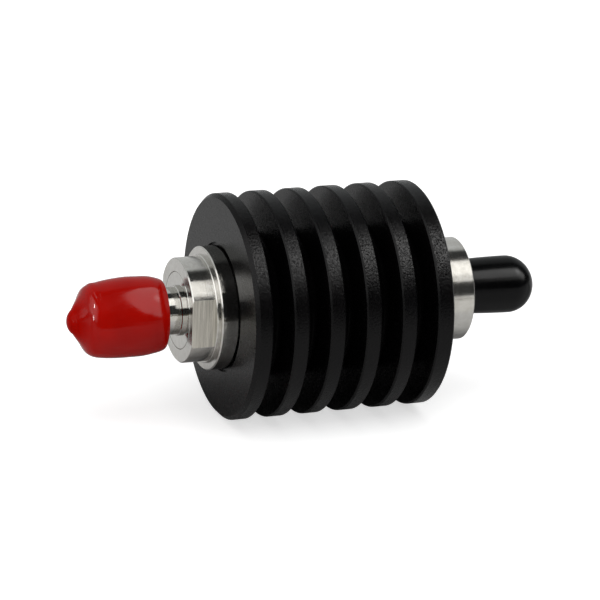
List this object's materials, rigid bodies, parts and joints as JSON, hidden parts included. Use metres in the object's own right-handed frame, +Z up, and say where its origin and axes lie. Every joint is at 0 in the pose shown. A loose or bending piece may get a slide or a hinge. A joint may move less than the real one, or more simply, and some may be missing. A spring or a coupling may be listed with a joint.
{
  "type": "coaxial attenuator",
  "caption": "Fixed coaxial attenuator with a round finned heat sink, a threaded plug at one end and a threaded jack at the other, both under push-on caps.",
  "frame": {"origin": "on the axis, at the plug's reference plane, where its tube butts on the mating jack", "axes": "+X along the axis from the plug to the jack, -Y out of the front wrench flat, +Z up"},
  "size_m": [0.0658, 0.03, 0.03],
  "materials": {
    "red_vinyl": "glossy, soft moulded vinyl",
    "black_vinyl": "glossy, soft moulded vinyl",
    "stainless": "turned and passivated",
    "black_anodised": "satin black anodised",
    "gold": "gold plated",
    "spring_bronze": "bright spring bronze",
    "copper": "machined copper",
    "ptfe": "waxy white",
    "bead_resin": "amber resin",
    "ceramic": "fired white ceramic",
    "resistive_film": "dull dark film",
    "silicone": "soft orange silicone"
  },
  "bodies": {
    "root": {"retaining_ring": "spring_bronze", "plug_gasket": "silicone", "plug_body": "stainless", "plug_dielectric": "ptfe", "plug_pin": "gold", "input_housing": "stainless", "input_bead": "bead_resin", "input_tab": "gold", "upper_carrier": "copper", "lower_carrier": "copper", "attenuator_chip": "ceramic", "resistor_film": "resistive_film", "terminal_pads": "gold", "output_tab": "gold", "output_bead": "bead_resin", "heat_sink": "black_anodised", "output_housing": "stainless", "jack_body": "stainless", "jack_dielectric": "ptfe", "jack_contact": "gold"},
    "coupling": {"coupling_nut": "stainless"},
    "plug_cap": {"red_cap": "red_vinyl"},
    "jack_cap": {"black_cap": "black_vinyl"}
  },
  "joints": [
    {"name": "nut_spin", "type": "hinge", "parent": "root", "child": "coupling", "pos_m": [0, 0, 0], "axis": [1, 0, 0], "continuous": true},
    {"name": "plug_cap_pull", "type": "slide", "parent": "coupling", "child": "plug_cap", "axis": [-1, 0, 0], "range_m": [0, 0.014]},
    {"name": "jack_cap_pull", "type": "slide", "parent": "root", "child": "jack_cap", "axis": [1, 0, 0], "range_m": [0, 0.014]}
  ]
}
